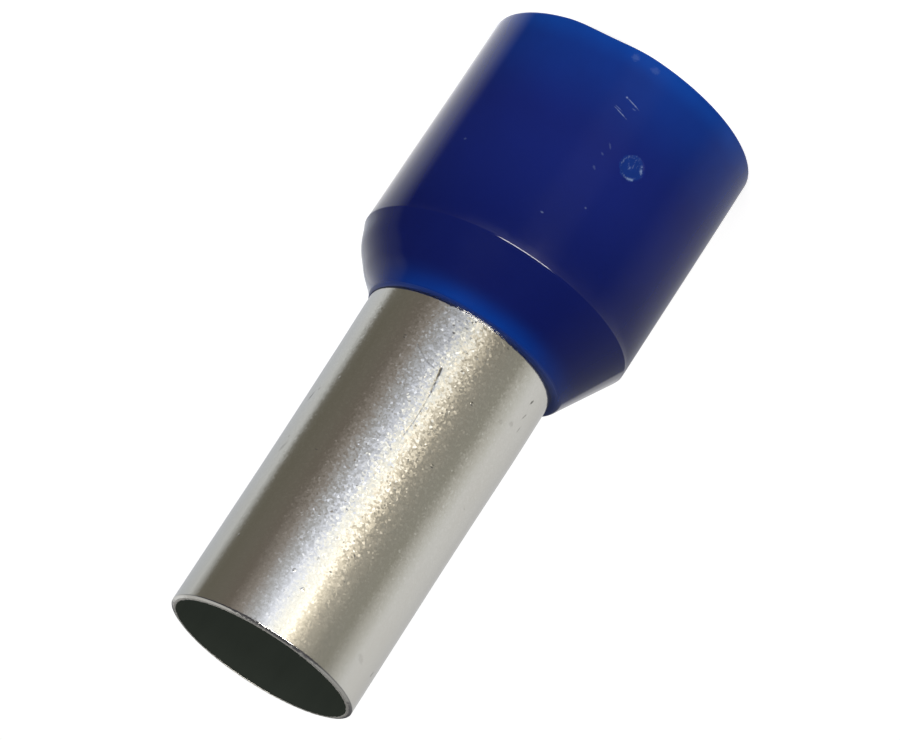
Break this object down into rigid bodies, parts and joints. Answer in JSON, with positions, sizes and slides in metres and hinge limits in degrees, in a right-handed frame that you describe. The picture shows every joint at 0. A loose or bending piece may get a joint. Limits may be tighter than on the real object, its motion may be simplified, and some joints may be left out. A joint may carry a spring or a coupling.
{
  "type": "wire ferrule",
  "caption": "Insulated wire ferrule: thin tin-plated copper sleeve held by its bell mouth in a blue moulded plastic collar that opens wider for the wire's insulation.",
  "frame": {"origin": "centre of the collar's mouth, on the plane that the rim stands on", "axes": "+Z along the ferrule's axis from the collar's mouth to the sleeve's tip; X and Y are any two directions across it"},
  "size_m": [0.0159, 0.0158, 0.0366],
  "materials": {
    "tinned_copper": "matt tin plate over copper, fine grain with small pits and specks",
    "blue_plastic": "glossy, slightly translucent moulded plastic, lightly scuffed"
  },
  "bodies": {
    "root": {"sleeve": "tinned_copper", "collar": "blue_plastic"}
  },
  "joints": []
}
